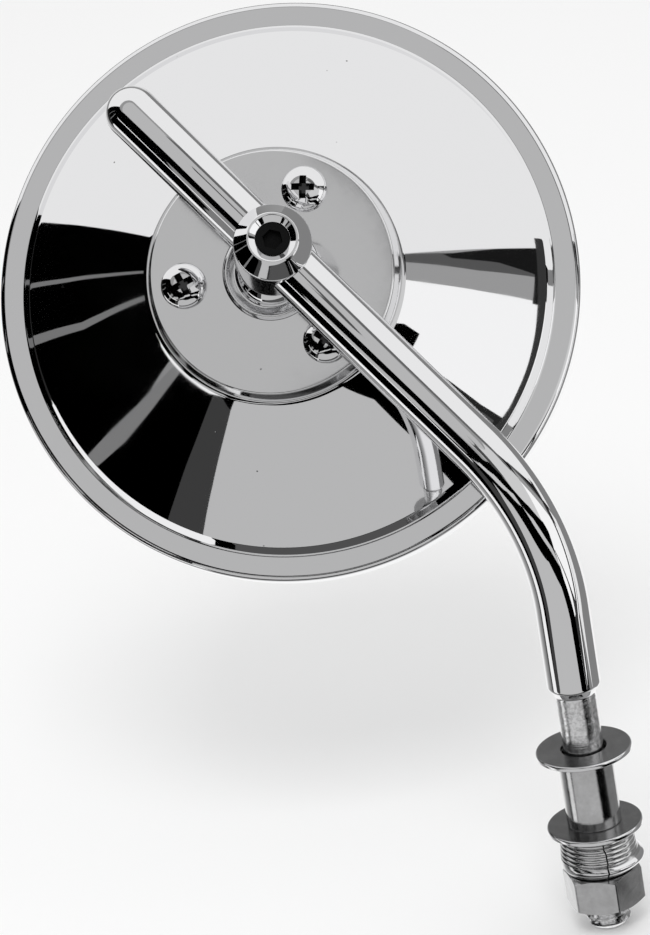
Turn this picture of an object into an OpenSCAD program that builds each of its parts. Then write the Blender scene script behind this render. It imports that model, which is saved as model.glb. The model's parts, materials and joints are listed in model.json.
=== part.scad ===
// Round motorcycle mirror whose head slides on a bent clamp stem. Millimetres.
// Z runs along the mounting stud, and the origin is the centre of the shoulder above the stud.
// The stem bends towards -X. The back of the head looks towards -Y, the glass towards +Y.

/* [Stem rod] */
// Diameter of the rod
rod_d = 9.52; // [8:0.02:11]
// Straight length between the shoulder and the bend
lower_len = 16; // [8:0.5:40]
// Radius of the bend on the centre line
bend_r = 42.5; // [36:0.5:60]
// Angle of the bend
bend_angle = 45; // [35:1:50]
// Straight length above the bend, up to the round tip
upper_len = 89.5; // [80:0.5:110]
// Height of the bevel above the shoulder
bevel_h = 1.6; // [0.8:0.1:3]

/* [Stud] */
// Outside diameter of the thread
thread_d = 7.94; // [6:0.02:8.4]
// Diameter of the plain shank above the thread
shank_d = 7.2; // [5:0.1:7.6]
// Free end of the stud below the nut
stud_out = 4.6; // [3:0.1:12]
// Bevel on the end of the stud
end_bevel = 0.8; // [0.3:0.1:1.5]

/* [Mounting hardware] */
// Distance from the shoulder down to the upper washer
hardware_drop = 9.9; // [6:0.1:30]
// Outside diameter of the flat washers
washer_d = 17.2; // [14:0.1:22]
// Thickness of the flat washers
washer_t = 1.65; // [1:0.05:3]
// Radial play between the thread and what slides over it
hardware_play = 0.15; // [0.05:0.05:0.4]
// Wall of the spacer sleeve
sleeve_wall = 0.75; // [0.5:0.05:2]
// Length of the spacer sleeve
sleeve_len = 13.1; // [6:0.1:30]
// Diameter of the ribbed lock washer at its top
lock_top_d = 12.6; // [11:0.1:16]
// Diameter of the lock washer's flared rim
lock_rim_d = 16; // [13:0.1:20]
// Height of the lock washer
lock_h = 7.8; // [5:0.1:12]
// Width of the slit in the lock washer
lock_slit = 0.5; // [0.3:0.1:1.5]
// Width of the nut across its flats
nut_af = 12.7; // [11:0.1:16]
// Height of the nut
nut_h = 6.75; // [5:0.05:9]

/* [Clamp post] */
// Distance of the clamp post from the rod's tip
clamp_from_tip = 39.7; // [20:0.1:60]
// Turn of the clamp post about the rod, from -Y
clamp_turn = 47; // [30:1:60]
// Wall of the post beside the rod
post_wall = 2.1; // [1.6:0.1:4]
// Height of the post above the rod's centre line, to its front face
post_front = 8.2; // [7.6:0.1:12]
// Height above the rod's centre line where the taper starts
taper_start = 4.8; // [3:0.1:6]
// Diameter of the front face
front_d = 9.4; // [7.4:0.1:12]
// Depth of the post below the rod's centre line
post_below = 7; // [6:0.1:9]
// Diameter of the set screw
set_screw_d = 6; // [4:0.1:6.8]
// Length of the set screw
set_screw_len = 2.3; // [1.5:0.1:4]
// Width of the set screw's hexagon socket across its flats
socket_af = 3.2; // [2:0.1:4]

/* [Ball joint] */
// Distance between the rod's centre line and the ball's centre
ball_drop = 19; // [17:0.1:26]
// Diameter of the ball
ball_d = 14.8; // [12:0.1:16]
// Diameter of the neck between the ball and the post
neck_d = 7.2; // [5:0.1:8]
// Thickness of the liners round the ball
liner_t = 1.85; // [1:0.05:2.5]
// Running clearance of each spherical face
ball_play = 0.05; // [0.02:0.01:0.1]
// Tilt of the head about the rod's direction, as photographed
head_tilt = 8.5; // [0:0.5:15]
// Swing of the head across the rod, as photographed
head_swing = -2; // [-10:0.5:10]
// Turn of the head about its own axis, as photographed
head_spin = -9; // [-180:1:180]

/* [Back plate] */
// Diameter of the plate's flat face
plate_d = 44.2; // [38:0.2:56]
// Height of the plate's face above the ball's centre
plate_rise = 3; // [2.4:0.1:4]
// Thickness of the plate
plate_t = 3.5; // [2.5:0.1:5]
// Growth of the plate's radius from its face to its foot
plate_draft = 0.9; // [0.2:0.1:1.5]
// Rounding of the plate's edge
plate_round = 0.7; // [0.3:0.1:1.2]
// Pitch circle diameter of the three screws
screw_pcd = 32; // [29:0.2:36]
// Diameter of the screw thread
screw_d = 4.1; // [3:0.1:5]
// Diameter of the screw heads
screw_head_d = 8.3; // [6:0.1:10]
// Height of the screw heads
screw_head_h = 2.4; // [1.6:0.1:3.5]

/* [Back shell] */
// Outside diameter of the mirror head
head_d = 108; // [96:0.5:125]
// Wall thickness of the shell
shell_t = 1; // [0.7:0.1:1.6]
// Width of the flat ring behind the rim
ring_w = 3.6; // [2.6:0.1:6]
// Slope of the dish beside the plate
slope_top = 27; // [20:1:34]
// Slope of the dish beside the rim
slope_edge = 45; // [38:1:50]
// Radius of the hollow between the dish and the flat ring
hollow_r = 3.8; // [2.5:0.1:6]
// Rounding of the rim
rim_round = 1.1; // [0.8:0.1:1.6]
// Width of the lip that is rolled over the glass
lip_w = 2.6; // [1.5:0.1:4]

/* [Glass] */
// Thickness of the mirror glass
glass_t = 3; // [2:0.1:5]
// Thickness of the rubber channel round the glass
gasket_t = 0.5; // [0.3:0.1:1]
// Thickness of the felt pad behind the glass
pad_t = 1.4; // [0.8:0.1:3]

/* [Hidden] */
$fn = 96;
arc_steps = 8;
eps = 0.01;
screw_count = 3;
edge_break = 0.3;
thread_fit = 0.02;

// Hardware levels below the shoulder
sleeve_top = -hardware_drop - washer_t;
lower_top = sleeve_top - sleeve_len;
lock_top = lower_top - washer_t;
nut_top = lock_top - lock_h;
stud_end = nut_top - nut_h - stud_out;
shank_len = hardware_drop + washer_t + sleeve_len / 3;
thread_bore = thread_d + 2 * hardware_play;
sleeve_d = thread_bore + 2 * sleeve_wall;

// Lock washer
lock_rib_count = 6;
lock_rib_d = 0.5;
lock_rim_h = 1.5;
lock_foot_h = 1.1;
lock_wall_growth = 0.5;
slit_turn = -35;

// Nut
nut_corner_r = nut_af / 2 / cos(30);
nut_face_inset = 0.2;
nut_face_r = nut_af / 2 - nut_face_inset;
nut_bevel_h = (nut_corner_r - nut_face_r) * tan(30);
nut_turn = 11;

// Clamp post
slide_play = 0.05;
bore_r = rod_d / 2 + slide_play;
post_r = bore_r + post_wall;
clamp_at = upper_len - clamp_from_tip;
set_screw_gap = 0.05;
set_screw_foot = bore_r + set_screw_gap;
socket_floor = 0.9;
socket_depth = set_screw_len - socket_floor;

// Ball joint
ball_r = ball_d / 2;
liner_in = ball_r + ball_play;
liner_out = liner_in + liner_t;
housing_r = liner_out + ball_play;
ring_proud = 1;
ring_top = plate_rise + ring_proud;
ring_dip = 0.4;
ring_foot = 1;
cup_rim = -2.2;
neck_round = 1.2;
neck_meets_ball = sqrt(ball_r * ball_r - neck_d * neck_d / 4);

// Head, measured from the ball's centre along the head's own axis
deck = plate_rise - plate_t;
plate_foot_r = plate_d / 2 + plate_draft;
plate_ledge = 0.4;
deck_r = plate_foot_r + plate_ledge;
rim_r = head_d / 2;
ring_out_r = rim_r - rim_round;
ring_in_r = ring_out_r - ring_w;
dish_out_r = ring_in_r - hollow_r * sin(slope_edge);
dish_drop = (dish_out_r - deck_r) * tan((slope_top + slope_edge) / 2);
dish_r = norm([dish_out_r - deck_r, dish_drop]) / 2 / sin((slope_edge - slope_top) / 2);
ring_level = deck - dish_drop - hollow_r * (1 - cos(slope_edge));
rim_floor = ring_level - shell_t;
glass_back = rim_floor - gasket_t;
glass_front = glass_back - glass_t;
lip_level = glass_front - gasket_t;
rim_front = lip_level - shell_t;
gasket_gap = 0.1;
gasket_r = rim_r - shell_t - gasket_gap;
glass_r = gasket_r - gasket_t;
gasket_leg = lip_w - gasket_gap;
pad_inset = 3;
pad_r = dish_out_r - pad_inset;
shell_hole_r = housing_r + 0.3;
anchor_t = 2;
anchor_top = deck - shell_t;
anchor_r = screw_pcd / 2 + screw_d;
bowl_wall = 1.6;

// Screws
screw_clearance = 0.2;
screw_hole_r = screw_d / 2 + screw_clearance;
screw_reach = 1;
screw_foot = anchor_top - anchor_t - screw_reach;
head_flank = 1;
head_edge_r = screw_head_h - head_flank;
head_crown = 0.2;
recess_span = 4.8;
recess_w = 1.15;
recess_depth = 1.8;
recess_turn = 20;

// Points on an arc about c, from angle a0 to angle a1
function arc(c, r, a0, a1) =
    [for (i = [0 : arc_steps]) let (a = a0 + (a1 - a0) * i / arc_steps) c + r * [cos(a), sin(a)]];

// Back face of the shell, from the plate outwards, moved inwards by t
function dish_line(t) =
    let (top_c = [deck_r, deck] - dish_r * [sin(slope_top), cos(slope_top)])
    let (low_c = [ring_in_r, ring_level + hollow_r])
    concat(arc(top_c, dish_r - t, 90 - slope_top, 90 - slope_edge),
           arc(low_c, hollow_r + t, 270 - slope_edge, 270));

// Places its children on the straight upper rod, at a distance from the end of the bend
module on_rod(along) {
    translate([-bend_r * (1 - cos(bend_angle)), 0, lower_len + bend_r * sin(bend_angle)])
        rotate([0, -bend_angle, 0])
            translate([0, 0, along])
                children();
}

// Clamp frame: Z along the post, X down the rod, origin on the rod's centre line
module clamp_frame() {
    on_rod(clamp_at) rotate([0, 0, clamp_turn - 90]) rotate([0, 90, 0]) children();
}

// Ball frame: the clamp frame moved to the ball's centre
module ball_frame() {
    clamp_frame() translate([0, 0, -ball_drop]) children();
}

// Cup frame: the ball frame after the tilt
module cup_frame() {
    ball_frame() rotate([head_tilt, 0, 0]) children();
}

// Head frame: Z out of the back of the mirror
module head_frame() {
    cup_frame() rotate([0, head_swing, 0]) rotate([0, 0, head_spin]) children();
}

module at_screw(n) {
    rotate([0, 0, (n - 1) * 360 / screw_count]) translate([screw_pcd / 2, 0, 0]) children();
}

module at_screws() {
    for (n = [1 : screw_count]) at_screw(n) children();
}

module ring(outer_r, inner_r, height) {
    difference() {
        cylinder(r = outer_r, h = height);
        translate([0, 0, -eps]) cylinder(r = inner_r, h = height + 2 * eps);
    }
}

module stem_rod() {
    color("gainsboro") {
        translate([0, 0, bevel_h]) cylinder(d = rod_d, h = lower_len - bevel_h);
        cylinder(d1 = shank_d, d2 = rod_d, h = bevel_h);
        translate([-bend_r, 0, lower_len]) rotate([90, 0, 0])
            rotate_extrude(angle = bend_angle) translate([bend_r, 0]) circle(d = rod_d);
        on_rod(0) cylinder(d = rod_d, h = upper_len - rod_d / 2);
        on_rod(upper_len - rod_d / 2) sphere(d = rod_d);
        translate([0, 0, -shank_len]) cylinder(d = shank_d, h = shank_len);
        translate([0, 0, stud_end + end_bevel])
            cylinder(d = thread_d, h = -shank_len - stud_end - end_bevel);
        translate([0, 0, stud_end])
            cylinder(d1 = thread_d - 2 * end_bevel, d2 = thread_d, h = end_bevel);
    }
}

// Stamped washer with a rounded upper edge, its top at the origin
module flat_washer() {
    rotate_extrude()
        polygon(concat(
            [[thread_bore / 2, -washer_t], [washer_d / 2 - edge_break / 2, -washer_t],
             [washer_d / 2, -washer_t + edge_break / 2]],
            arc([washer_d / 2 - edge_break, -edge_break], edge_break, 0, 90),
            [[thread_bore / 2, 0]]));
}

module upper_washer() {
    color("darkgray") translate([0, 0, -hardware_drop]) flat_washer();
}

module lower_washer() {
    color("darkgray") translate([0, 0, lower_top]) flat_washer();
}

module spacer_sleeve() {
    color("silver") translate([0, 0, lower_top])
        rotate_extrude()
            polygon([[thread_bore / 2, 0], [sleeve_d / 2 - edge_break, 0], [sleeve_d / 2, edge_break],
                     [sleeve_d / 2, sleeve_len - edge_break], [sleeve_d / 2 - edge_break, sleeve_len],
                     [thread_bore / 2, sleeve_len]]);
}

// Ribbed wall with a flared rim near the nut and one slit
module lock_washer() {
    top_r = lock_top_d / 2;
    wall_h = lock_h - lock_rim_h - lock_foot_h;
    rib_h = wall_h / lock_rib_count;
    color("silver") translate([0, 0, lock_top]) difference() {
        union() {
            rotate_extrude()
                polygon([[thread_bore / 2, -lock_h], [lock_top_d / 2, -lock_h],
                         [lock_rim_d / 2 - edge_break, lock_foot_h - lock_h],
                         [lock_rim_d / 2, lock_foot_h - lock_h + edge_break],
                         [lock_rim_d / 2, -wall_h - edge_break * 2],
                         [lock_rim_d / 2 - edge_break, -wall_h - edge_break],
                         [top_r + lock_wall_growth, -wall_h + edge_break], [top_r, 0], [thread_bore / 2, 0]]);
            for (i = [0.5 : lock_rib_count])
                translate([0, 0, -i * rib_h]) rotate_extrude()
                    translate([top_r + lock_wall_growth * i / lock_rib_count, 0]) circle(d = lock_rib_d);
        }
        rotate([0, 0, slit_turn]) translate([0, -lock_slit / 2, -lock_h - eps])
            cube([lock_rim_d, lock_slit, lock_h + 2 * eps]);
    }
}

module hex_nut() {
    color("silver") translate([0, 0, nut_top - nut_h]) difference() {
        intersection() {
            rotate([0, 0, nut_turn]) cylinder(r = nut_corner_r, h = nut_h, $fn = 6);
            rotate_extrude()
                polygon([[0, 0], [nut_face_r, 0], [nut_corner_r + eps, nut_bevel_h],
                         [nut_corner_r + eps, nut_h - nut_bevel_h], [nut_face_r, nut_h], [0, nut_h]]);
        }
        translate([0, 0, -eps]) cylinder(d = thread_d + 2 * thread_fit, h = nut_h + 2 * eps);
    }
}

// Ball, neck and cross-drilled post turned from one bar
module ball_stud() {
    neck_r = neck_d / 2;
    color("gainsboro") clamp_frame() difference() {
        union() {
            translate([0, 0, -ball_drop]) sphere(r = ball_r, $fn = 128);
            rotate_extrude()
                polygon(concat(
                    [[0, -ball_drop], [neck_r, -ball_drop + neck_meets_ball]],
                    arc([neck_r + neck_round, -post_below - neck_round], neck_round, 180, 90),
                    [[post_r - edge_break * 2, -post_below], [post_r, -post_below + edge_break * 2],
                     [post_r, taper_start], [front_d / 2, post_front - edge_break],
                     [front_d / 2 - edge_break, post_front], [0, post_front]]));
        }
        translate([-2 * post_r, 0, 0]) rotate([0, 90, 0]) cylinder(r = bore_r, h = 4 * post_r);
        cylinder(d = set_screw_d + 2 * thread_fit, h = post_front + eps);
    }
}

module clamp_set_screw() {
    color("dimgray") clamp_frame() translate([0, 0, set_screw_foot]) difference() {
        rotate_extrude()
            polygon([[0, 0], [set_screw_d / 2 - edge_break, 0], [set_screw_d / 2, edge_break],
                     [set_screw_d / 2, set_screw_len - edge_break],
                     [set_screw_d / 2 - edge_break, set_screw_len], [0, set_screw_len]]);
        translate([0, 0, set_screw_len - socket_depth])
            cylinder(d = socket_af / cos(30), h = socket_depth + eps, $fn = 6);
    }
}

// Lower liner, a bowl under the ball
module ball_cup() {
    color("ivory") cup_frame() difference() {
        sphere(r = liner_out, $fn = 128);
        sphere(r = liner_in, $fn = 128);
        translate([0, 0, cup_rim]) cylinder(r = housing_r + 1, h = 2 * housing_r);
    }
}

// Upper liner, seen round the ball in the plate's opening, with a dished top
module seat_ring() {
    lip_r = sqrt(liner_in * liner_in - (ring_top - ring_dip) * (ring_top - ring_dip));
    brim_r = sqrt(liner_out * liner_out - ring_top * ring_top);
    color("gainsboro") head_frame() difference() {
        sphere(r = liner_out, $fn = 128);
        sphere(r = liner_in, $fn = 128);
        translate([0, 0, ring_top]) cylinder(r = housing_r, h = housing_r);
        translate([0, 0, ring_top - ring_dip])
            cylinder(r1 = lip_r, r2 = brim_r - edge_break, h = ring_dip + eps);
        translate([0, 0, ring_foot - 2 * housing_r]) cylinder(r = housing_r, h = 2 * housing_r);
    }
}

module back_plate() {
    face_r = plate_d / 2;
    color("gainsboro") head_frame() difference() {
        rotate_extrude()
            polygon(concat([[0, deck], [plate_foot_r, deck]],
                arc([face_r - plate_round, plate_rise - plate_round], plate_round, 0, 90),
                [[0, plate_rise]]));
        sphere(r = housing_r, $fn = 128);
        at_screws() translate([0, 0, deck - eps]) cylinder(r = screw_hole_r, h = plate_t + 2 * eps);
    }
}

// Pan head screw with a cross recess. Screw number n sits in the plate's hole number n.
module plate_screw(n) {
    head_r = screw_head_d / 2;
    color("silver") head_frame() at_screw(n) translate([0, 0, plate_rise]) difference() {
        union() {
            rotate_extrude()
                polygon(concat([[0, 0], [head_r, 0]],
                    arc([head_r - head_edge_r, head_flank], head_edge_r, 0, 90),
                    [[0, screw_head_h + head_crown]]));
            translate([0, 0, screw_foot - plate_rise]) cylinder(d = screw_d, h = plate_rise - screw_foot);
        }
        for (a = [recess_turn, recess_turn + 90])
            translate([0, 0, screw_head_h + head_crown - recess_depth]) rotate([0, 0, a])
                translate([-recess_span / 2, -recess_w / 2, 0])
                    cube([recess_span, recess_w, recess_depth + eps]);
    }
}

// Spun shell: deck under the plate, dish, flat ring, rim and the lip rolled over the glass
module back_shell() {
    out_c = [ring_out_r, ring_level - rim_round];
    front_c = [ring_out_r, rim_front + rim_round];
    in_round = rim_round - shell_t;
    color("whitesmoke") head_frame() difference() {
        rotate_extrude()
            polygon(concat(
                [[shell_hole_r, deck]], dish_line(0),
                arc(out_c, rim_round, 90, 0), arc(front_c, rim_round, 0, -90),
                [[rim_r - shell_t - lip_w, rim_front], [rim_r - shell_t - lip_w, lip_level]],
                arc(front_c, in_round, -90, 0), arc(out_c, in_round, 0, 90),
                [for (i = [len(dish_line(shell_t)) - 1 : -1 : 0]) dish_line(shell_t)[i]],
                [[deck_r - shell_t, deck - shell_t], [shell_hole_r, deck - shell_t]]));
        at_screws() translate([0, 0, anchor_top - eps]) cylinder(r = screw_hole_r, h = shell_t + 2 * eps);
    }
}

// Inner plate that the three screws pull up, with a bowl for the lower liner
module anchor_plate() {
    color("slategray") head_frame() difference() {
        union() {
            translate([0, 0, anchor_top - anchor_t]) cylinder(r = anchor_r, h = anchor_t);
            difference() {
                sphere(r = housing_r + bowl_wall, $fn = 128);
                translate([0, 0, anchor_top - anchor_t / 2]) cylinder(r = 2 * housing_r, h = 2 * housing_r);
            }
        }
        sphere(r = housing_r, $fn = 128);
        at_screws() translate([0, 0, anchor_top - anchor_t - eps])
            cylinder(r = screw_d / 2 + thread_fit, h = anchor_t + 2 * eps);
    }
}

module backing_pad() {
    color("dimgray") head_frame() translate([0, 0, glass_back]) cylinder(r = pad_r, h = pad_t);
}

module mirror_glass() {
    color("lightsteelblue") head_frame() translate([0, 0, glass_front]) cylinder(r = glass_r, h = glass_t);
}

// Rubber channel that wraps the edge of the glass
module glass_gasket() {
    color("black") head_frame() translate([0, 0, lip_level]) difference() {
        ring(gasket_r, gasket_r - gasket_leg, glass_t + 2 * gasket_t);
        translate([0, 0, gasket_t]) cylinder(r = glass_r, h = glass_t);
    }
}

stem_rod();
upper_washer();
spacer_sleeve();
lower_washer();
lock_washer();
hex_nut();
ball_stud();
clamp_set_screw();
ball_cup();
seat_ring();
back_plate();
plate_screw(1);  // plate_screw_1
plate_screw(2);  // plate_screw_2
plate_screw(3);  // plate_screw_3
back_shell();
anchor_plate();
backing_pad();
mirror_glass();
glass_gasket();
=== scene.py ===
# Round motorcycle mirror on a ball joint and a bent rod stem: finishes, fine detail and studio.
import json
import math

import bmesh
import bpy
from mathutils import Matrix, Vector

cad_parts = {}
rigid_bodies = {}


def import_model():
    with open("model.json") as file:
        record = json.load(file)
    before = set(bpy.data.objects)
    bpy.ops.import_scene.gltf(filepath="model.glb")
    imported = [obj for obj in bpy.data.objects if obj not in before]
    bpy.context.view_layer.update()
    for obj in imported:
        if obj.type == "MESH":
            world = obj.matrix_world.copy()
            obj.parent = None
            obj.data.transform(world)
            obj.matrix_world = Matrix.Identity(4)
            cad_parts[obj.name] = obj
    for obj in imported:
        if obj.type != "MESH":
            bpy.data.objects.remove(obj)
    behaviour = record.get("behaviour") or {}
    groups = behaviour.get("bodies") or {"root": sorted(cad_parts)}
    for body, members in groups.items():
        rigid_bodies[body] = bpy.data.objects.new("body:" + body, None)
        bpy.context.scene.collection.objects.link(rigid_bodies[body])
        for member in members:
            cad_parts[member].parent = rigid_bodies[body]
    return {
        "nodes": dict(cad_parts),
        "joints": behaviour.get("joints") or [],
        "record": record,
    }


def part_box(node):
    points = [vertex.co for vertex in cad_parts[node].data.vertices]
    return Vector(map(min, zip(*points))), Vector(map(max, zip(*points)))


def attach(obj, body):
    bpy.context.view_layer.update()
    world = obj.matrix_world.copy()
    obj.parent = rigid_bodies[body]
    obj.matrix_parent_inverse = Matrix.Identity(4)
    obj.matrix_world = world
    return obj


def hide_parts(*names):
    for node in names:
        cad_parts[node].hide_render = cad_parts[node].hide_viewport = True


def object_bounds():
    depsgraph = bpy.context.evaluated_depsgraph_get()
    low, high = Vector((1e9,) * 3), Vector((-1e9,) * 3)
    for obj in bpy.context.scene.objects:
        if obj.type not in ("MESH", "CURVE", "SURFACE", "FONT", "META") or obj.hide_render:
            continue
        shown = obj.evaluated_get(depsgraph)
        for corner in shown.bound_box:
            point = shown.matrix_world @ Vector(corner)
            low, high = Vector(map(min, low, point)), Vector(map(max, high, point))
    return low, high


mm = 0.001
for leftover in list(bpy.data.objects):
    bpy.data.objects.remove(leftover)
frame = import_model()
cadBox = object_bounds()
joints = {joint["name"]: joint for joint in frame["joints"]}
print("frame loaded:", len(frame["nodes"]), "nodes")


# places that the frame gives
def nodePoints(node):
    return [vertex.co.copy() for vertex in frame["nodes"][node].data.vertices]


def boxCentre(node):
    low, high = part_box(node)
    return (low + high) / 2


def placeFrame(origin, axis, towards):
    z = axis.normalized()
    x = (towards - z * towards.dot(z)).normalized()
    y = z.cross(x)
    return Matrix.Translation(origin) @ Matrix((x, y, z)).transposed().to_4x4()


rodAxis = Vector(joints["clamp_slide"]["axis"]).normalized()
headAxis = Vector(joints["head_spin"]["axis"]).normalized()
ballCentre = Vector(joints["head_spin"]["pos_m"])
rodTip = max(nodePoints("stem_rod"), key=lambda point: point.dot(rodAxis))
hubCentre = rodTip - rodAxis * (rodTip - ballCentre).dot(rodAxis)
postAxis = (hubCentre - ballCentre).normalized()
headFrame = placeFrame(ballCentre, headAxis, boxCentre("plate_screw_1") - ballCentre)
clampFrame = placeFrame(hubCentre, postAxis, -rodAxis)
stemFrame = Matrix.Identity(4)

# camera, as the photograph was taken
camera = {
    "place": Vector((0.33604, -0.54817, 0.29226)),
    "right": Vector((0.84372, 0.51267, -0.15907)),
    "down": Vector((0.05909, -0.38324, -0.92176)),
    "focalPixels": 4000,
    "imageHeight": 935,
    "sensor": 36,
    "nearest": 0.01,
    "farthest": 20,
}


def makeCamera(c):
    forward = c["right"].cross(c["down"]) * -1
    if forward.dot(ballCentre - c["place"]) < 0:
        forward = -forward
    turn = Matrix((c["right"], -c["down"], -forward)).transposed().to_quaternion()
    data = bpy.data.cameras.new("camera")
    data.sensor_width = c["sensor"]
    data.lens = c["focalPixels"] * c["sensor"] / c["imageHeight"]
    data.clip_start, data.clip_end = c["nearest"], c["farthest"]
    holder = bpy.data.objects.new("camera", data)
    holder.matrix_world = Matrix.Translation(c["place"]) @ turn.to_matrix().to_4x4()
    bpy.context.scene.collection.objects.link(holder)
    bpy.context.scene.camera = holder


makeCamera(camera)
print("camera set")


# shader maths
class Signal:  # one output socket of a shade
    def __init__(self, shade, socket):
        self.shade = shade
        self.socket = socket

    def maths(self, operation, first, second):
        return self.shade.node("ShaderNodeMath", {"operation": operation}, {0: first, 1: second})

    def __add__(self, other):
        return self.maths("ADD", self, other)

    def __sub__(self, other):
        return self.maths("SUBTRACT", self, other)

    def __rsub__(self, other):
        return self.maths("SUBTRACT", other, self)

    def __mul__(self, other):
        return self.maths("MULTIPLY", self, other)

    def __pow__(self, other):
        return self.maths("POWER", self, other)

    __radd__ = __add__
    __rmul__ = __mul__


class Shade:  # a material or a world while its nodes are made
    def __init__(self, holder):
        holder.use_nodes = True
        self.holder = holder
        self.tree = holder.node_tree
        self.tree.nodes.clear()

    def node(self, kind, settings=None, inputs=None, output=0):
        made = self.tree.nodes.new(kind)
        for name, value in (settings or {}).items():
            if name == "stops":
                ramp = made.color_ramp.elements
                for number, (place, level) in enumerate(value):
                    stop = ramp[number] if number < 2 else ramp.new(place)
                    stop.position = place
                    stop.color = (level, level, level, 1)
            else:
                setattr(made, name, value)
        for key, value in (inputs or {}).items():
            if isinstance(value, Signal):
                self.tree.links.new(value.socket, made.inputs[key])
            else:
                made.inputs[key].default_value = value
        return Signal(self, made.outputs[output])

    def place(self):  # Object coordinates, in metres
        return self.node("ShaderNodeTexCoord", output="Object")

    def split(self, where):  # distance from the stud's axis, and height along it
        axes = self.node("ShaderNodeSeparateXYZ", None, {"Vector": where}).socket.node.outputs
        x, y = Signal(self, axes[0]), Signal(self, axes[1])
        return (x * x + y * y) ** 0.5, Signal(self, axes[2])

    def pair(self, across, along):
        return self.node("ShaderNodeCombineXYZ", None, {"X": across, "Y": along})

    def noise(self, where, grain):  # grain as (scale, detail, roughness)
        scale, detail, roughness = grain
        return self.node("ShaderNodeTexNoise", None, {
            "Vector": where, "Scale": scale, "Detail": detail, "Roughness": roughness,
        })

    def smoothStep(self, value, low, high):
        return self.node("ShaderNodeMapRange", {"interpolation_type": "SMOOTHSTEP"},
                         {"Value": value, "From Min": low, "From Max": high})

    def mixColour(self, share, first, second):
        first, second = (v if isinstance(v, Signal) else (*v, 1) for v in (first, second))
        return self.node("ShaderNodeMix", {"data_type": "RGBA"}, {0: share, 6: first, 7: second},
                         output=2)

    def bump(self, height, distance, normal=None):
        inputs = {"Height": height, "Distance": distance, "Strength": 1}
        if normal:
            inputs["Normal"] = normal
        return self.node("ShaderNodeBump", None, inputs)

    def finish(self, surface, kind="ShaderNodeOutputMaterial"):
        end = self.tree.nodes.new(kind)
        self.tree.links.new(surface.socket, end.inputs["Surface"])
        return self.holder


def newShade(name):
    return Shade(bpy.data.materials.new(name))


# chrome: mirror bright, with faint polishing haze, plating ripple and a few pits
chrome = {
    "cool": 1.01, "evenHaze": 0.6, "fineHaze": 0.5,
    "smudge": (45, 4, 0.6), "smudgeRange": (0.48, 0.72), "fine": (900, 3, 0.6),
    "wave": (60, 1, 0.4), "waveDepth": 0.00004,
    "pitCells": 420, "pitSize": (0.04, 0.1), "pitSpread": (160, 2, 0.5), "pitRange": (0.66, 0.7),
    "pitTint": (0.12, 0.12, 0.12), "pitDepth": 0.00002,
    "rawFade": 0.3, "rawHaze": 0.05, "rawTint": (0.62, 0.62, 0.62), "palePlate": (0.93, 0.93, 0.94),
    "mottle": (1100, 5, 0.7), "mottleRange": (0.36, 0.62), "mottleHaze": 0.07,
    "turning": (1, 2, 0.6), "turningScale": (300, 9000), "turningDepth": 0.00002,
}


def chromePlate(name, tint, haze, ripple, pits=1.0, rawBelow=None):
    s, c = newShade(name), chrome
    where = s.place()
    smudge = s.smoothStep(s.noise(where, c["smudge"]), *c["smudgeRange"])
    fine = s.noise(where, c["fine"])
    cells = s.node("ShaderNodeTexVoronoi", None, {"Vector": where, "Scale": c["pitCells"]},
                   output="Distance")
    sparse = s.smoothStep(s.noise(where, c["pitSpread"]), *c["pitRange"])
    pit = (1 - s.smoothStep(cells, *c["pitSize"])) * sparse * pits
    bumps = s.bump(s.noise(where, c["wave"]), c["waveDepth"] * ripple)
    bumps = s.bump(1 - pit, c["pitDepth"], bumps)
    level = s.mixColour(pit, (tint, tint, tint * c["cool"]), c["pitTint"])
    rough = haze * c["evenHaze"] + smudge * haze + fine * haze * c["fineHaze"]
    if rawBelow is not None:  # the turned stud is only flashed with plate
        across, along = s.split(where)
        raw = 1 - s.smoothStep(along, (rawBelow - c["rawFade"]) * mm, rawBelow * mm)
        mottle = s.smoothStep(s.noise(where, c["mottle"]), *c["mottleRange"])
        acrossScale, alongScale = c["turningScale"]
        turned = s.noise(s.pair(across * acrossScale, along * alongScale), c["turning"])
        level = s.mixColour(raw, level, s.mixColour(mottle, c["rawTint"], c["palePlate"]))
        rough = rough + raw * c["rawHaze"] + raw * mottle * c["mottleHaze"]
        bumps = s.bump(turned * raw, c["turningDepth"], bumps)
    return s.finish(s.node("ShaderNodeBsdfPrincipled", None, {
        "Base Color": level, "Metallic": 1.0, "Roughness": rough, "Normal": bumps,
    }))


# bright zinc plate, with turning marks round the stud, and an edge beyond a radius that is glossier
# and painted lighter as a painted highlight
zinc = {
    "cool": 1.01, "darkShare": 0.7, "paleShare": 1.2, "palest": 0.95,
    "evenHaze": 0.6, "blotchHaze": 0.5, "grainHaze": 0.3,
    "blotch": (420, 5, 0.65), "grain": (2600, 2, 0.5), "turning": (1, 3, 0.7), "turningScale": 5000,
    "grainBump": 0.4, "depth": 0.00002,
    "edgeFade": 0.2, "edgeHighlightTint": (0.86, 0.86, 0.87), "edgeGloss": 0.6,
}


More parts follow.
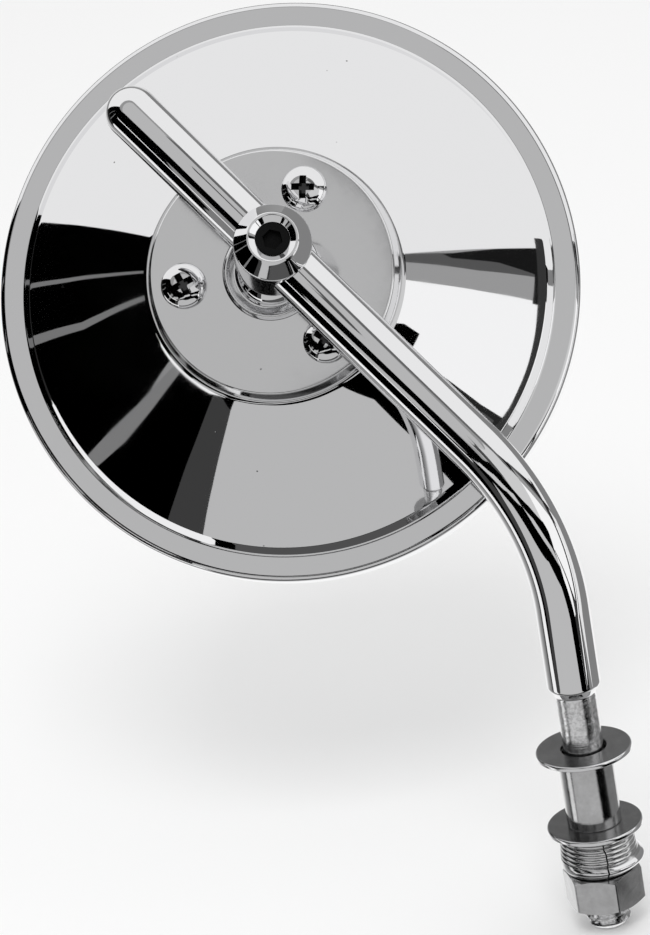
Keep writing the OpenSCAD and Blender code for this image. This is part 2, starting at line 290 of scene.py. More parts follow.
def platedSteel(name, tint, gloss, marks=1.0, edge=None):
    s, c = newShade(name), zinc
    where = s.place()
    blotch, grain = s.noise(where, c["blotch"]), s.noise(where, c["grain"])
    across, along = s.split(where)
    turned = s.noise(s.pair(across * c["turningScale"], along * c["turningScale"]), c["turning"])
    dark, pale = tint * c["darkShare"], min(tint * c["paleShare"], c["palest"])
    level = s.mixColour(blotch, (dark, dark, dark), (pale, pale, pale * c["cool"]))
    haze = gloss * c["evenHaze"] + blotch * gloss * c["blotchHaze"] + grain * gloss * c["grainHaze"]
    if edge:
        # beyond the edge radius the rim is polished, and lightened as a painted highlight
        polishAndPaintedHighlight = s.smoothStep(across, edge * mm, (edge + c["edgeFade"]) * mm)
        level = s.mixColour(polishAndPaintedHighlight, level, c["edgeHighlightTint"])
        haze = haze * (1 - polishAndPaintedHighlight * c["edgeGloss"])
    return s.finish(s.node("ShaderNodeBsdfPrincipled", None, {
        "Base Color": level, "Metallic": 1.0, "Roughness": haze,
        "Normal": s.bump(turned * marks + grain * c["grainBump"], c["depth"]),
    }))


plain = {"detail": 4, "roughness": 0.65, "darkShare": 0.8, "paleShare": 1.15, "evenGloss": 0.8,
         "grainGloss": 0.4}


def plainFinish(name, tint, gloss, grain, depth, specular=0.5):
    s, c = newShade(name), plain
    grains = s.noise(s.place(), (grain, c["detail"], c["roughness"]))
    dark = tuple(v * c["darkShare"] for v in tint)
    pale = tuple(min(v * c["paleShare"], 1) for v in tint)
    return s.finish(s.node("ShaderNodeBsdfPrincipled", None, {
        "Base Color": s.mixColour(grains, dark, pale), "Specular IOR Level": specular,
        "Roughness": gloss * c["evenGloss"] + grains * gloss * c["grainGloss"],
        "Normal": s.bump(grains, depth),
    }))


finishes = {
    "chrome_rod": chromePlate("chromeRod", 0.86, 0.03, 0.4, 1.0, -0.2),
    "chrome_clamp": chromePlate("chromeClamp", 0.86, 0.035, 0.5),
    "chrome_shell": chromePlate("chromeShell", 0.84, 0.03, 1.0),
    "chrome_plate": chromePlate("chromePlate", 0.82, 0.09, 0.6),
    "chrome_ring": chromePlate("chromeRing", 0.84, 0.12, 0.5),
    "chrome_screws": chromePlate("chromeScrews", 0.84, 0.05, 0.5),
    # the last number is the radius beyond which the rim is polished and painted lighter as a
    # highlight
    "plated_washer": platedSteel("platedWasher", 0.36, 0.24, 0.8, 8.25),
    "plated_sleeve": platedSteel("platedSleeve", 0.66, 0.12, 0.4),
    "plated_lock": platedSteel("platedLock", 0.72, 0.14, 0.5, 7.2),
    "plated_nut": platedSteel("platedNut", 0.62, 0.2, 0.8),
    # black oxide, darkened further with little specular as painted shade in the set screw's hole
    "black_screw": plainFinish("blackOxideAndPaintedShade", (0.004, 0.004, 0.0042), 0.4, 1500, 0.00002, 0.08),
    "nylon": plainFinish("nylon", (0.8, 0.78, 0.72), 0.5, 900, 0.00002),
    "zinc_anchor": platedSteel("zincAnchor", 0.55, 0.38),
    "felt": plainFinish("felt", (0.12, 0.12, 0.13), 0.95, 2500, 0.0002),
    "mirror_glass": chromePlate("silveredGlass", 0.93, 0.004, 0.0, 0.0),
    "rubber": plainFinish("rubber", (0.022, 0.022, 0.023), 0.6, 1800, 0.00003),
}
# the screw recesses get a dark chrome finish: painted shade in the cross recess
paintedRecessShade = chromePlate("recessPaintedShade", 0.07, 0.2, 1.0)
slotOf = {part["node"]: part["material_slot"] for part in frame["record"]["subparts"]}
bodyOf = {node: body for body, nodes in frame["record"]["behaviour"]["bodies"].items()
          for node in nodes}
for node, solid in frame["nodes"].items():
    for slot in solid.material_slots:
        slot.material = finishes[slotOf[node]]
print("finishes made:", len(finishes))


# mesh making, with profiles as (radius, height, rounding) in mm
meshing = {"segments": 96, "cornerSteps": 5, "support": 0.12, "longEdge": 0.7, "straightEdge": 2,
           "sharp": 32, "merge": 1e-6, "level": 1e-7}


def arcPoints(centre, radius, start, end, steps):
    turns = [math.radians(start + (end - start) * i / steps) for i in range(steps + 1)]
    return [(centre[0] + radius * math.cos(a), centre[1] + radius * math.sin(a)) for a in turns]


def everything(bm):
    return bm.verts[:] + bm.edges[:] + bm.faces[:]


def profileWire(points, closed=True):
    bm = bmesh.new()
    corners = [bm.verts.new((point[0] * mm, 0, point[1] * mm)) for point in points]
    ends = [(corners[-1], corners[0])] if closed else []
    for pair in list(zip(corners, corners[1:])) + ends:
        bm.edges.new(pair)
    roundings = {}
    for corner, point in zip(corners, points):
        if len(point) == 3:
            roundings.setdefault(point[2], []).append(corner)
    rounded = set()
    for size, group in roundings.items():
        made = bmesh.ops.bevel(bm, geom=group, offset=size * mm, offset_type="OFFSET", profile=0.5,
                               material=-1, segments=meshing["cornerSteps"], affect="VERTICES")
        rounded.update(made["verts"])
    step = meshing["support"] * mm
    for edge in bm.edges[:]:  # support beside roundings, and at both ends of long straights
        length = edge.calc_length()
        near, far = edge.verts
        straight = length > meshing["straightEdge"] * mm
        if length > meshing["longEdge"] * mm and (near in rounded or straight):
            made = bmesh.utils.edge_split(edge, near, step / length)[1]
            edge = next(e for e in made.link_edges if e.other_vert(made) == far)
            length -= step
        if length > meshing["longEdge"] * mm and (far in rounded or straight):
            bmesh.utils.edge_split(edge, far, step / length)
    return bm


def weld(bm):
    bmesh.ops.remove_doubles(bm, verts=bm.verts[:], dist=meshing["merge"])
    bmesh.ops.recalc_face_normals(bm, faces=bm.faces[:])


def spun(points, closed=True, segments=meshing["segments"]):
    bm = profileWire(points, closed)
    bmesh.ops.spin(bm, geom=everything(bm), cent=(0, 0, 0), axis=(0, 0, 1), steps=segments,
                   angle=math.radians(360), use_merge=True)
    weld(bm)
    return bm


def makeBar(radius, length, sides, place):
    bm = bmesh.new()
    bmesh.ops.create_cone(bm, cap_ends=True, segments=sides, radius1=radius * mm,
                          radius2=radius * mm, depth=length * mm, matrix=place)
    return bm


def hold(name, bm):  # a new object in the scene, made of a bmesh that is then freed
    mesh = bpy.data.meshes.new(name)
    bm.to_mesh(mesh)
    bm.free()
    holder = bpy.data.objects.new(name, mesh)
    bpy.context.scene.collection.objects.link(holder)
    return holder


def join(bm, other, place=Matrix.Identity(4)):
    bmesh.ops.transform(other, matrix=place, verts=other.verts[:])
    mesh = bpy.data.meshes.new("joined")
    other.to_mesh(mesh)
    other.free()
    bm.from_mesh(mesh)
    bpy.data.meshes.remove(mesh)


def carve(bm, cutter, operation="DIFFERENCE"):  # a solid after the boolean with a second solid
    holders = [hold("carved", bm), hold("cutter", cutter)]
    change = holders[0].modifiers.new("carve", "BOOLEAN")
    change.operation, change.solver, change.object = operation, "EXACT", holders[1]
    carved = holders[0].evaluated_get(bpy.context.evaluated_depsgraph_get())
    cut = bpy.data.meshes.new_from_object(carved)
    result = bmesh.new()
    result.from_mesh(cut)
    bpy.data.meshes.remove(cut)
    for holder in holders:
        bpy.data.meshes.remove(holder.data)
    weld(result)
    return result


def addPiece(name, bm, place, node, inner=None):
    bmesh.ops.transform(bm, matrix=place, verts=bm.verts[:])
    for face in bm.faces:
        face.smooth = True
    for edge in bm.edges:
        edge.smooth = edge.calc_face_angle(0) < math.radians(meshing["sharp"])
    piece = hold(name, bm)
    piece.data.materials.append(finishes[slotOf[node]])
    if inner:
        piece.data.materials.append(inner)
    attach(piece, bodyOf[node])
    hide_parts(node)


# stem: bent rod with a round tip, turned down to a shank and a rolled 5/16-18 thread
stem = {
    "rod": 4.76, "lower": 16, "bendRadius": 42.5, "bendAngle": 45, "upper": 89.5, "bevel": 1.6,
    "bevelRound": 0.3, "shank": 3.6, "shankRound": 0.25, "shankEnd": -15.92, "shankTaper": 0.4,
    "crest": 3.97, "root": 3.2, "pitch": 1.411, "crestFlat": 0.25, "rootFlat": 0.2,
    "end": -45.45, "endBevel": 0.8, "bendSteps": 40, "tipSteps": 16, "threadSteps": 48,
    "seam": 0.01,
}


def makeThread(c):
    flank = (c["pitch"] - c["crestFlat"] - c["rootFlat"]) / 2
    start = c["end"] - c["pitch"]
    foot, top = c["rootFlat"] + flank, c["rootFlat"] + flank + c["crestFlat"]
    heights = [0, c["rootFlat"], foot, top, c["pitch"]]
    radii = [c["root"], c["root"], c["crest"], c["crest"], c["root"]]
    bm = bmesh.new()
    points = [bm.verts.new((r * mm, 0, (start + h) * mm)) for r, h in zip(radii, heights)]
    for pair in zip(points, points[1:]):
        bm.edges.new(pair)
    turns = math.ceil((c["shankEnd"] - start) / c["pitch"]) + 1
    bmesh.ops.spin(bm, geom=everything(bm), cent=(0, 0, 0), axis=(0, 0, 1),
                   steps=turns * c["threadSteps"], angle=math.radians(360 * turns),
                   dvec=(0, 0, c["pitch"] * mm / c["threadSteps"]))
    bmesh.ops.remove_doubles(bm, verts=bm.verts[:], dist=meshing["merge"])
    cuts = ((c["shankEnd"], 1), (c["end"], -1), (c["end"] + c["endBevel"], 0))
    for height, normal in cuts:  # the third only adds a ring of vertices where the chamfer ends
        bmesh.ops.bisect_plane(bm, geom=everything(bm), plane_co=(0, 0, height * mm),
                               plane_no=(0, 0, normal or 1), clear_outer=normal != 0)
    for vertex in bm.verts:
        limit = (c["crest"] - c["endBevel"]) * mm + max(0, vertex.co.z - c["end"] * mm)
        radius = math.hypot(vertex.co.x, vertex.co.y)
        if radius > limit:
            vertex.co.x *= limit / radius
            vertex.co.y *= limit / radius
    rings = [e for e in bm.edges if e.is_boundary and
             abs(e.verts[0].co.z - e.verts[1].co.z) < meshing["level"]]
    bmesh.ops.holes_fill(bm, edges=rings)
    return bm


def makeStem(c):
    bm = spun([(c["root"], c["shankEnd"]), (c["shank"], c["shankEnd"] + c["shankTaper"]),
               (c["shank"], 0, c["shankRound"]), (c["rod"], c["bevel"], c["bevelRound"]),
               (c["rod"], c["lower"])], closed=False)
    bend, straight = math.radians(c["bendAngle"]), (c["upper"] - c["rod"]) * mm
    top = [e for e in bm.edges if min(v.co.z for v in e.verts) > (c["lower"] - c["seam"]) * mm]
    made = bmesh.ops.spin(bm, geom=list({v for e in top for v in e.verts}) + top, angle=bend,
                          cent=(-c["bendRadius"] * mm, 0, c["lower"] * mm), axis=(0, -1, 0),
                          steps=c["bendSteps"])
    last = [item for item in made["geom_last"] if isinstance(item, bmesh.types.BMEdge)]
    made = bmesh.ops.extrude_edge_only(bm, edges=last)
    ends = [item for item in made["geom"] if isinstance(item, bmesh.types.BMVert)]
    bmesh.ops.translate(bm, verts=ends, vec=rodAxis * straight)
    bendEnd = Vector((-c["bendRadius"] * (1 - math.cos(bend)), 0,
                      c["lower"] + c["bendRadius"] * math.sin(bend))) * mm
    tip = spun(arcPoints((0, 0), c["rod"], 0, 90, c["tipSteps"]), closed=False)
    join(bm, tip, Matrix.Translation(bendEnd + rodAxis * straight) @ Matrix.Rotation(-bend, 4, "Y"))
    weld(bm)
    join(bm, makeThread(c))
    bmesh.ops.recalc_face_normals(bm, faces=bm.faces[:])
    addPiece("bentRod", bm, stemFrame, "stem_rod")


makeStem(stem)
print("stem made")

# mounting hardware on the stud: thin flat washers and a spacer between them
hardware = {
    "bore": 4.12, "washerEdge": 8.6, "washerThick": 0.85, "upperTop": -10.7, "lowerTop": -25.45,
    "sleeveWall": 4.87, "sleeveTop": -11.55, "sleeveFoot": -25.45,
}


def makeWasher(name, node, top, c):
    edge, bore, thick = c["washerEdge"], c["bore"], c["washerThick"]
    bm = spun([(bore, -thick, 0.1), (edge, -thick, 0.12), (edge, 0, 0.3), (bore, 0, 0.15)])
    addPiece(name, bm, Matrix.Translation((0, 0, top * mm)), node)


def makeSleeve(c):
    wall, low, top = c["sleeveWall"], c["sleeveFoot"], c["sleeveTop"]
    bm = spun([(c["bore"], low, 0.1), (wall, low, 0.25), (wall, top, 0.3), (c["bore"], top, 0.15)])
    addPiece("spacerTube", bm, stemFrame, "spacer_sleeve")


makeWasher("upperWasher", "upper_washer", hardware["upperTop"], hardware)
makeWasher("lowerWasher", "lower_washer", hardware["lowerTop"], hardware)
makeSleeve(hardware)

# lock washer: fine ribs, a flared rim and one wavy slit
lockWasher = {
    "top": -26.3, "height": 7.8, "wall": 6.3, "growth": 0.5, "wallHeight": 5.2, "neck": 0.2,
    "seat": -0.001, "ribs": 6, "ribDepth": 0.2, "ribPower": 0.8, "ribSteps": 6,
    "rim": [(7.75, -6.7, 0.2), (8.0, -6.25, 0.15), (7.95, -5.95, 0.2), (7.3, -5.45, 0.2)],
    "slit": 0.25, "slitTurn": -50, "slitWave": 0.15, "slitSwings": (1.1, 0.6, 2.7), "slitReach": 6,
    "smallRim": 6.95, "smallTurn": -149, "smallPower": 1.5, "segments": 160,
}


def makeLockWasher(c):
    points = [(hardware["bore"], -c["height"]), (c["wall"], -c["height"], 0.15)] + c["rim"]
    count = c["ribs"] * c["ribSteps"]
    for i in range(count, -1, -1):
        share = i / count
        bulge = c["ribDepth"] * abs(math.sin(math.pi * share * c["ribs"])) ** c["ribPower"]
        height = min(-share * c["wallHeight"], c["seat"])
        points.append((c["wall"] + c["growth"] * share + bulge, height))
    points += [(c["wall"] - c["neck"], c["seat"]), (hardware["bore"], c["seat"])]
    gap = math.degrees(c["slit"] / c["wall"])
    bm = profileWire(points)
    bmesh.ops.spin(bm, geom=everything(bm), cent=(0, 0, 0), axis=(0, 0, 1), steps=c["segments"],
                   angle=math.radians(360 - gap))
    bmesh.ops.holes_fill(bm, edges=[e for e in bm.edges if e.is_boundary])
    weld(bm)
    first, second, third = c["slitSwings"]
    for vertex in bm.verts:
        height = vertex.co.z / mm
        shift = c["slitWave"] * mm * math.sin(height * first + second * math.sin(height * third))
        turn = math.atan2(vertex.co.y, vertex.co.x)
        fade = max(0.0, math.cos(turn + math.radians(gap / 2))) ** c["slitReach"]
        vertex.co = Matrix.Rotation(fade * shift / (c["wall"] * mm), 3, "Z") @ vertex.co
        radius = math.hypot(vertex.co.x, vertex.co.y)
        over = radius - c["smallRim"] * mm
        if over > 0:  # the rim is pressed nearly flat on one side
            facing = math.cos(turn + math.radians(c["slitTurn"] + gap / 2 - c["smallTurn"]))
            share = 1 - over / radius * ((1 + facing) / 2) ** c["smallPower"]
            vertex.co.x *= share
            vertex.co.y *= share
    place = Matrix.Translation((0, 0, c["top"] * mm))
    spin = Matrix.Rotation(math.radians(c["slitTurn"] + gap / 2), 4, "Z")
    addPiece("ribbedLockWasher", bm, place @ spin, "lock_washer")


makeLockWasher(lockWasher)

# nut: rounded hexagon with turned chamfers
nut = {"top": -34.5, "height": 6.75, "corner": 7.332, "clear": 0.1, "face": 6.15, "bevel": 0.74,
       "turn": 16, "bore": 3.99, "edge": 0.35, "edgeSteps": 3, "prism": 8.75}


def makeNut(c):
    top, low, outside = c["top"], c["top"] - c["height"], c["corner"] + c["clear"]
    turned = spun([(c["bore"], low, 0.3), (c["face"], low, 0.1), (outside, low + c["bevel"]),
                   (outside, top - c["bevel"]), (c["face"], top, 0.1), (c["bore"], top, 0.3)])
    prism = makeBar(c["corner"], c["prism"], 6, Matrix.Translation((0, 0, (top + low) / 2 * mm)) @
                    Matrix.Rotation(math.radians(c["turn"] + 30), 4, "Z"))
    upright = [e for e in prism.edges if abs(e.verts[0].co.z - e.verts[1].co.z) > mm]
    bmesh.ops.bevel(prism, geom=upright, offset=c["edge"] * mm, offset_type="OFFSET",
                    segments=c["edgeSteps"], profile=0.5, material=-1, affect="EDGES")
    addPiece("hexNut", carve(turned, prism, "INTERSECT"), stemFrame, "hex_nut")


makeNut(nut)
print("hardware made")

# ball stud: ball, neck and cross-drilled post with a tapered front
ballStud = {
    "ball": 7.4, "drop": 19, "neck": 3.6, "neckRound": 1.2, "neckSteps": 8, "post": 6.91,
    "below": -7, "taper": 4.8, "front": 4.7, "frontHeight": 8.2, "frontDip": 0.2, "hole": 3.02,
    "lead": 1.15, "leadDepth": 0.92, "bore": 4.81, "boreLength": 41.46, "boreSides": 128,
    "ballSteps": 40, "segments": 128,
}


def makeBallStud(c):
    meet = math.degrees(math.asin(c["neck"] / c["ball"]))
    top, dip, neckRound = c["frontHeight"], c["frontDip"], c["neckRound"]
    points = arcPoints((0, -c["drop"]), c["ball"], -90, 90 - meet, c["ballSteps"])
    points += arcPoints((c["neck"] + neckRound, c["below"] - neckRound), neckRound, 180, 90,
                        c["neckSteps"])
    points += [(c["post"], c["below"], 0.6), (c["post"], c["taper"], 0.25)]
    points += [(c["front"], top - dip, 0.3), (c["front"] - dip, top, 0.08)]
    points += [(c["hole"] + c["lead"], top, 0.12), (c["hole"], top - c["leadDepth"], 0.08)]
    points += [(c["hole"], 0), (0, 0)]
    post = spun(points, closed=False, segments=c["segments"])
    bore = makeBar(c["bore"], c["boreLength"], c["boreSides"], Matrix.Rotation(math.pi / 2, 4, "Y"))
    addPiece("ballStud", carve(post, bore), clampFrame, "ball_stud")


makeBallStud(ballStud)

# set screw: black oxide, made nearly black with little specular as painted shade deep in its hole,
# and a deep hexagon socket
setScrew = {"round": 3.0, "foot": 4.86, "length": 2.3, "socket": 3.2, "depth": 1.7}


def makeSetScrew(c):
    top = c["foot"] + c["length"]
    body = spun([(0, c["foot"]), (c["round"], c["foot"], 0.3), (c["round"], top, 0.25), (0, top)],
                closed=False)
    across = c["socket"] / math.cos(math.pi / 6) / 2
    key = makeBar(across, 2 * c["depth"], 6, Matrix.Translation((0, 0, top * mm)))
    addPiece("setScrew", carve(body, key), clampFrame, "clamp_set_screw")


makeSetScrew(setScrew)
print("clamp made")

# head: seat ring, back plate, screws and the spun shell
head = {
    "linerIn": 7.45, "linerOut": 9.3, "ringTop": 4, "ringDip": 0.4, "ringFoot": 1, "ringFlat": 0.45,
    "ringLip": (0.75, 0.28), "lipFlat": 0.25, "ringSteps": (6, 8), "housing": 9.35,
    "housingSteps": 8, "plateTop": 3, "plateFace": 22.1, "plateRound": 0.3, "plateFoot": 23.05,
    "deck": -0.5, "segments": 192,
}


def archAngles(radius, heights):
    return [math.degrees(math.asin(height / radius)) for height in heights]


def makeSeatRing(c):
    top, dip, foot = c["ringTop"], c["ringTop"] - c["ringDip"], c["ringFoot"]
    lipRadius = math.sqrt(c["linerIn"] ** 2 - dip ** 2)
    outSteps, inSteps = c["ringSteps"]
    lipIn, lipDown = c["ringLip"]
    points = arcPoints((0, 0), c["linerOut"], *archAngles(c["linerOut"], (foot, top)), outSteps)
    outer = points[-1][0]
    points[-1] = (*points[-1], 0.22)
    points += [(outer - c["ringFlat"], top, 0.12), (outer - lipIn, top - lipDown, 0.12)]
    points += [(lipRadius + c["lipFlat"], dip, 0.1)]
    points += arcPoints((0, 0), c["linerIn"], *archAngles(c["linerIn"], (dip, foot)), inSteps)
    addPiece("seatRing", spun(points), headFrame, "seat_ring")


def makePlate(c):
    top, low = c["plateTop"], c["deck"]
    points = [(c["plateFoot"], low), (c["plateFace"], top, c["plateRound"])]
    points += arcPoints((0, 0), c["housing"], *archAngles(c["housing"], (top, low)),
                        c["housingSteps"])
    addPiece("backPlate", spun(points, segments=c["segments"]), headFrame, "back_plate")


makeSeatRing(head)
makePlate(head)

screws = {
    "count": 3, "circle": 16, "head": 4.15, "height": 2.6, "flank": 0.5, "crown": 2.1,
    "crownSteps": 12, "shank": 2.05, "foot": -4.5, "recess": 2.5, "wing": 0.68, "floorWing": 0.36,
    "floorReach": 0.9, "depth": 1.9, "over": 0.3, "turn": 20, "heartFoot": 0.45, "heartTop": 1.25,
    "heartLift": 0.1, "skin": 0.06,
}


def makeScrew(number, c):
    top = head["plateTop"]
    points = [(0, c["foot"]), (c["shank"], c["foot"], 0.3), (c["shank"], top)]
    points += [(c["head"], top, 0.1), (c["head"], top + c["flank"], 0.12)]
    points += [(c["head"] * math.cos(a), top + c["flank"] + c["crown"] * math.sin(a))
               for a in [math.radians(90 / c["crownSteps"] * i) for i in range(1, c["crownSteps"])]]
    points += [(0, top + c["flank"] + c["crown"])]
    bm = spun(points, closed=False)
    for wing in range(2):
        key = bmesh.new()
        bmesh.ops.create_cube(key, size=1)
        for vertex in key.verts:
            high = vertex.co.z > 0
            vertex.co.x *= 2 * (c["recess"] if high else c["floorReach"]) * mm
            vertex.co.y *= 2 * (c["wing"] if high else c["floorWing"]) * mm
            vertex.co.z = (top + c["height"] + (c["over"] if high else -c["depth"])) * mm
        turn = Matrix.Rotation(math.radians(c["turn"] + 90 * wing), 3, "Z")
        bmesh.ops.rotate(key, cent=(0, 0, 0), matrix=turn, verts=key.verts[:])
        bm = carve(bm, key)
    heart = bmesh.new()
    middle = top + c["height"] - c["depth"] / 2 + c["heartLift"]
    bmesh.ops.create_cone(heart, cap_ends=True, segments=4, radius1=c["heartFoot"] * mm,
                          radius2=c["heartTop"] * mm, depth=c["depth"] * mm,
                          matrix=Matrix.Translation((0, 0, middle * mm)) @
                          Matrix.Rotation(math.radians(c["turn"]), 4, "Z"))
    bm = carve(bm, heart)
    for face in bm.faces:  # the faces of the recess, which lie under the dome, take a dark finish as painted shade
        spot = face.calc_center_median() / mm
        share = math.hypot(spot.x, spot.y) / c["head"]
        if share < c["recess"] / c["head"]:
            dome = top + c["flank"] + c["crown"] * math.sqrt(1 - share ** 2)
            face.material_index = int(top < spot.z < dome - c["skin"])
    spot = headFrame @ Matrix.Rotation(math.radians(360 / c["count"] * (number - 1)), 4, "Z")
    addPiece("plateScrew%d" % number, bm, spot @ Matrix.Translation((c["circle"] * mm, 0, 0)),
             "plate_screw_%d" % number, paintedRecessShade)


for number in range(1, screws["count"] + 1):
    makeScrew(number, screws)
print("plate and screws made")

shell = {
    "hole": 9.65, "deckRadius": 23.25, "deck": -0.5, "wall": 1, "slopeTop": 27, "slopeEdge": 40.6,
    "dishOut": 48, "grooveSlope": 47, "grooveRound": 0.3, "ringIn": 49.3, "rim": 54,
    "rimRound": 1.1, "depth": 6, "lip": 2.6, "lipRound": 0.3, "segments": 288, "dishSteps": 40,
    "rimSteps": 8, "innerSteps": 3,
}


def makeShell(c):
    rise, fall, steep = (math.radians(c[name]) for name in ("slopeTop", "slopeEdge", "grooveSlope"))
    across, wall = c["dishOut"] - c["deckRadius"], c["wall"]
    drop = across * math.tan((rise + fall) / 2)
    bow = math.hypot(across, drop) / 2 / math.sin((fall - rise) / 2)
    level = c["deck"] - drop - (c["ringIn"] - c["dishOut"]) * math.tan(steep)
    middle = (c["deckRadius"] - bow * math.sin(rise), c["deck"] - bow * math.cos(rise))
    out = (c["rim"] - c["rimRound"], level - c["rimRound"])
    front = (out[0], level - c["depth"] + c["rimRound"])
    innerRound = c["rimRound"] - wall

    def face(t):  # dish and groove at a depth inside the wall
        arc = arcPoints(middle, bow - t, 90 - c["slopeTop"], 90 - c["slopeEdge"], c["dishSteps"])
        arc[-1] = (*arc[-1], c["grooveRound"])
        return arc + [(c["ringIn"] - t * math.tan(steep / 2), level - t, c["grooveRound"])]
    points = [(c["hole"], c["deck"])] + face(0)
    points += arcPoints(out, c["rimRound"], 90, 0, c["rimSteps"])
    points += arcPoints(front, c["rimRound"], 0, -90, c["rimSteps"])
    lipEdge = c["rim"] - wall - c["lip"]
    points += [(lipEdge, front[1] - c["rimRound"], c["lipRound"]),
               (lipEdge, front[1] - innerRound, c["lipRound"])]
    points += arcPoints(front, innerRound, -90, 0, c["innerSteps"])
    points += arcPoints(out, innerRound, 0, 90, c["innerSteps"])
    points += face(wall)[::-1] + [(c["deckRadius"] - wall, c["deck"] - wall)]
    points += [(c["hole"], c["deck"] - wall)]
    addPiece("spunShell", spun(points, segments=c["segments"]), headFrame, "back_shell")


makeShell(shell)
print("shell made")


# studio: cards that only the chrome sees, placed round the direction that the flat plate mirrors
studio = {
    "radius": 0.28,
    "cardStep": 0.0012,
    "cardCell": 3,
    "floorDrop": 0.0005,
    "floorSize": 6.0,
    "floorTint": 0.9,
    "worldLevel": 0.9,
    "keyEnergy": 9.5,
    "keySize": 0.7,
    "keyPlace": Vector((0.5, -0.9, 1.5)),
    "backFade": [(0.0, 0.0), (0.2, 0.01), (0.3, 0.08), (0.4, 0.25), (0.52, 0.33), (0.64, 0.48),
                 (0.73, 0.8), (0.82, 1.0)],
}
plateHeight = max((point - ballCentre).dot(headAxis) for point in nodePoints("back_plate"))
plateCentre = ballCentre + headAxis * plateHeight
lookAtPlate = (plateCentre - camera["place"]).normalized()
pole = lookAtPlate - headAxis * 2 * lookAtPlate.dot(headAxis)
cardFrame = placeFrame(plateCentre, pole, camera["right"])

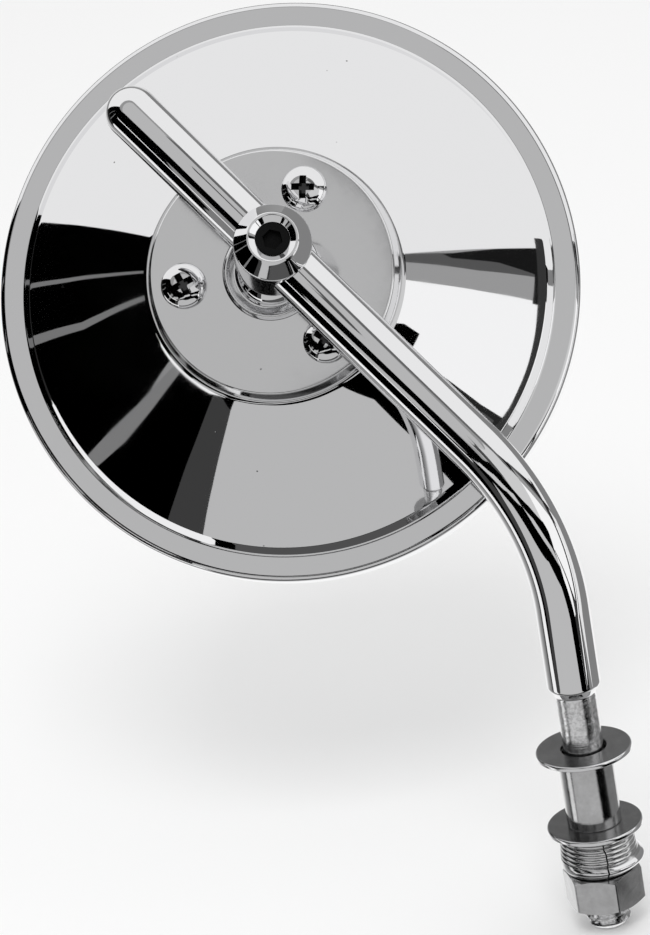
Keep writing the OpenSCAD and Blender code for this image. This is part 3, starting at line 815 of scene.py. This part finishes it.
# corners as (turn, tilt) in degrees: turn runs clockwise in the picture from its right side, and
# tilt away from the pole
cards = {
    "roomEdge": {"level": 0.0, "corners": [(41, 93.5), (119, 92), (119, 108), (41, 108)]},
    "roomLeftEdge": {"level": 0.02, "corners": [(165, 93), (203, 93), (203, 108), (165, 108)]},
    "edgeGlow": {"level": 0.09, "corners": [(60, 95), (112, 95), (112, 104), (60, 106)]},
    "sideWall": {"level": 0.24, "corners": [(275, 103), (395, 98), (395, 145), (275, 148)]},
    "front": {"level": 0.53, "corners": [(0, 0), (360, 0), (360, 27), (0, 27)]},
    "frontEdge": {"level": 0.33, "corners": [(0, 27), (360, 27), (360, 44), (0, 44)]},
    "darkLeft": {"level": 0.0, "corners": [
        (60, 27), (110, 24), (150, 23), (203, 40), (203, 93), (60, 93)]},
    "top": {"level": 0.92, "corners": [
        (203, 40), (300, 33), (350, 40), (350, 104), (284, 104), (284, 101.5), (203, 101.5)]},
    "innerRight": {"level": 0.68, "corners": [
        (-7, 33), (41, 19), (50, 36), (33, 47), (22, 61), (12, 62), (0, 59)]},
    "right": {"level": 1.05, "corners": [
        (0, 57), (22, 60), (33, 64), (40, 70), (41, 92), (36, 96), (-1, 98)]},
    "rightGap": {"level": 0.0, "corners": [
        (61, 24), (50, 36), (33, 47), (21, 62), (22, 66), (33, 66), (40, 72), (41, 93), (52, 96),
        (54, 67), (64, 57), (90, 54)]},
    "rightBand": {"level": 0.02, "corners": [
        (31, 67), (32.5, 66), (33.5, 79), (35, 84), (38, 88), (37, 91), (31, 91), (31.5, 85),
        (31, 77)]},
    "rightBandCore": {"level": 0.08, "corners": [(33, 86), (35.5, 87.5), (36, 89.3), (33, 89.3)]},
    "floorPaper": {"level": 0.55, "corners": [
        (52, 80), (54, 67), (66, 57), (87, 54), (99, 50), (112, 54), (115, 62), (119, 94),
        (52, 94)]},
    "floorShade": {"level": 0.05, "corners": [(115, 62), (124, 58), (128, 94), (119, 94)]},
    "curve": {"level": 0.14, "corners": [
        (300, 24), (304, 33), (317, 33), (333, 37), (344, 42), (357, 52), (361, 51), (360, 45),
        (348, 34), (337, 28), (316, 25)]},
    "streakRight": {"level": 0.36, "corners": [(349.5, 57), (361.5, 57), (360, 94), (346, 94)]},
    "streakShade": {"level": 0.1, "corners": [
        (349.5, 57), (353, 57), (354.5, 76), (354, 94), (346, 94), (349, 77)]},
    "streakBlack": {"level": 0.01, "corners": [
        (349.6, 68), (351, 70), (351.5, 80), (353.5, 88), (361, 88), (361, 92), (346, 94),
        (347.4, 80)]},
    "dishEdge": {"level": 0.04, "corners": [
        (344, 88.2), (352, 88.6), (361, 89.2), (368, 89.9), (378, 90.4), (388, 90.8), (393, 90.6),
        (398, 88.5), (401, 86.5), (401, 94), (344, 94)]},
    "rimLight": {"level": 0.6, "corners": [
        (60, 42), (46, 48), (36, 63), (36, 72), (45, 59), (58, 48)]},
    "bendLight": {"level": 0.62, "corners": [
        (117, 53), (107, 43), (90, 37), (63, 38), (62, 42), (86, 41), (106, 47)]},
    "middleLight": {"level": 0.5, "corners": [
        (136, 57), (134, 48), (118, 42), (116, 50), (127, 57)]},
    "leftLight": {"level": 0.28, "corners": [
        (147, 69), (149, 59), (149, 45), (141, 44), (140, 49), (143, 61), (145, 68)]},
    "lowPatch": {"level": 0.35, "corners": [(93, 25), (70, 23), (71, 28), (85, 30)]},
    "frontShade": {"level": 0.07, "corners": [
        (33, 20), (41, 22), (43, 26), (48, 34), (63, 29), (67, 21)]},
    "frontSpot": {"level": 0.08, "corners": [
        (-70, 7), (-62, 11), (-20, 10.5), (30, 10.5), (72, 11), (80, 7.5), (30, 7.5)]},
    "leftStreak": {"level": 0.22, "corners": [
        (146, 60), (148, 72), (150, 80), (152, 91), (149, 91), (145, 80), (143, 70), (142, 60)]},
    "farLeftStreak": {"level": 0.2, "corners": [
        (179, 59), (178, 75), (181, 93), (179, 93), (176, 75), (177, 59)]},
    "thinStreak": {"level": 0.2, "corners": [(188, 59), (190, 92), (191, 92), (189, 59)]},
    "plateGlow": {"level": 1.0, "corners": [
        (118, 57), (119, 59.6), (126, 60.3), (136, 60.1), (146, 59.9), (156, 59.5), (162, 58.4),
        (162, 57)]},
    "leftGlow": {"level": 1.0, "corners": [
        (117, 94), (165, 92), (168, 97), (162, 106), (117, 108)]},
    "rightGlow": {"level": 0.9, "corners": [(-6, 97), (31, 98), (31, 107), (-6, 107)]},
}


def cardPoint(turn, tilt, radius):
    a, t = math.radians(turn), math.radians(tilt)
    spot = Vector((math.sin(t) * math.cos(a), -math.sin(t) * math.sin(a), math.cos(t)))
    return cardFrame @ (spot * radius)


def makeCard(name, c, radius):
    bm = bmesh.new()
    bm.faces.new([bm.verts.new((*corner, 0)) for corner in c["corners"]])
    bmesh.ops.triangulate(bm, faces=bm.faces[:])
    cell = studio["cardCell"]
    for axis in range(2):
        spread = [corner[axis] for corner in c["corners"]]
        for line in range(math.floor(min(spread) / cell) + 1, math.ceil(max(spread) / cell)):
            place, normal = Vector(), Vector()
            place[axis], normal[axis] = line * cell, 1
            bmesh.ops.bisect_plane(bm, geom=everything(bm), plane_co=place, plane_no=normal)
    for vertex in bm.verts:
        vertex.co = cardPoint(vertex.co.x, vertex.co.y, radius)
    weld(bm)
    card = hold(name, bm)
    s = newShade(name)
    glow = s.node("ShaderNodeEmission", None, {"Color": (c["level"],) * 3 + (1,)})
    card.data.materials.append(s.finish(glow))
    card.visible_camera = card.visible_diffuse = False
    card.visible_shadow = card.visible_transmission = False


for order, (name, c) in enumerate(cards.items()):
    makeCard(name, c, studio["radius"] - studio["cardStep"] * order)


def makeFloor():
    bm = bmesh.new()
    height = cadBox[0].z - studio["floorDrop"]
    bmesh.ops.create_grid(bm, x_segments=2, y_segments=2, size=studio["floorSize"] / 2,
                          matrix=Matrix.Translation((0, 0, height)))
    floor = hold("floor", bm)
    s = newShade("paleFloor")
    paper = s.node("ShaderNodeBsdfDiffuse", None, {"Color": (studio["floorTint"],) * 3 + (1,)})
    clear = s.node("ShaderNodeBsdfTransparent")
    behind = s.node("ShaderNodeNewGeometry", output="Backfacing")
    mix = s.node("ShaderNodeMixShader", None, {0: behind, 1: paper, 2: clear})
    floor.data.materials.append(s.finish(mix))
    floor.visible_glossy = False


def makeLight():
    data = bpy.data.lights.new("keyLight", "AREA")
    data.energy, data.size = studio["keyEnergy"], studio["keySize"]
    light = bpy.data.objects.new("keyLight", data)
    turn = (studio["keyPlace"] - ballCentre).to_track_quat("Z", "Y")
    light.matrix_world = Matrix.Translation(studio["keyPlace"]) @ turn.to_matrix().to_4x4()
    light.visible_glossy = False
    bpy.context.scene.collection.objects.link(light)


def makeWorld():
    world = bpy.data.worlds.new("studioWorld")
    bpy.context.scene.world = world
    s = Shade(world)
    where = s.node("ShaderNodeTexCoord", output="Generated")
    away = s.node("ShaderNodeVectorMath", {"operation": "DOT_PRODUCT"}, {0: where, 1: -pole},
                  output="Value")
    backdrop = s.node("ShaderNodeValToRGB", {"stops": studio["backFade"]}, {"Fac": away})
    rays = s.node("ShaderNodeLightPath").socket.node.outputs
    seen, glossy, through = (Signal(s, rays["Is %s Ray" % kind])
                             for kind in ("Camera", "Glossy", "Transmission"))
    level = studio["worldLevel"] * (1 - seen - glossy - through)
    level = level + seen + through + glossy * backdrop
    glow = s.node("ShaderNodeBackground", None, {"Color": (1, 1, 1, 1), "Strength": level})
    s.finish(glow, "ShaderNodeOutputWorld")


makeFloor()
makeLight()
makeWorld()
bpy.context.scene.view_settings.view_transform = "Standard"
print("studio made:", len(cards), "cards")
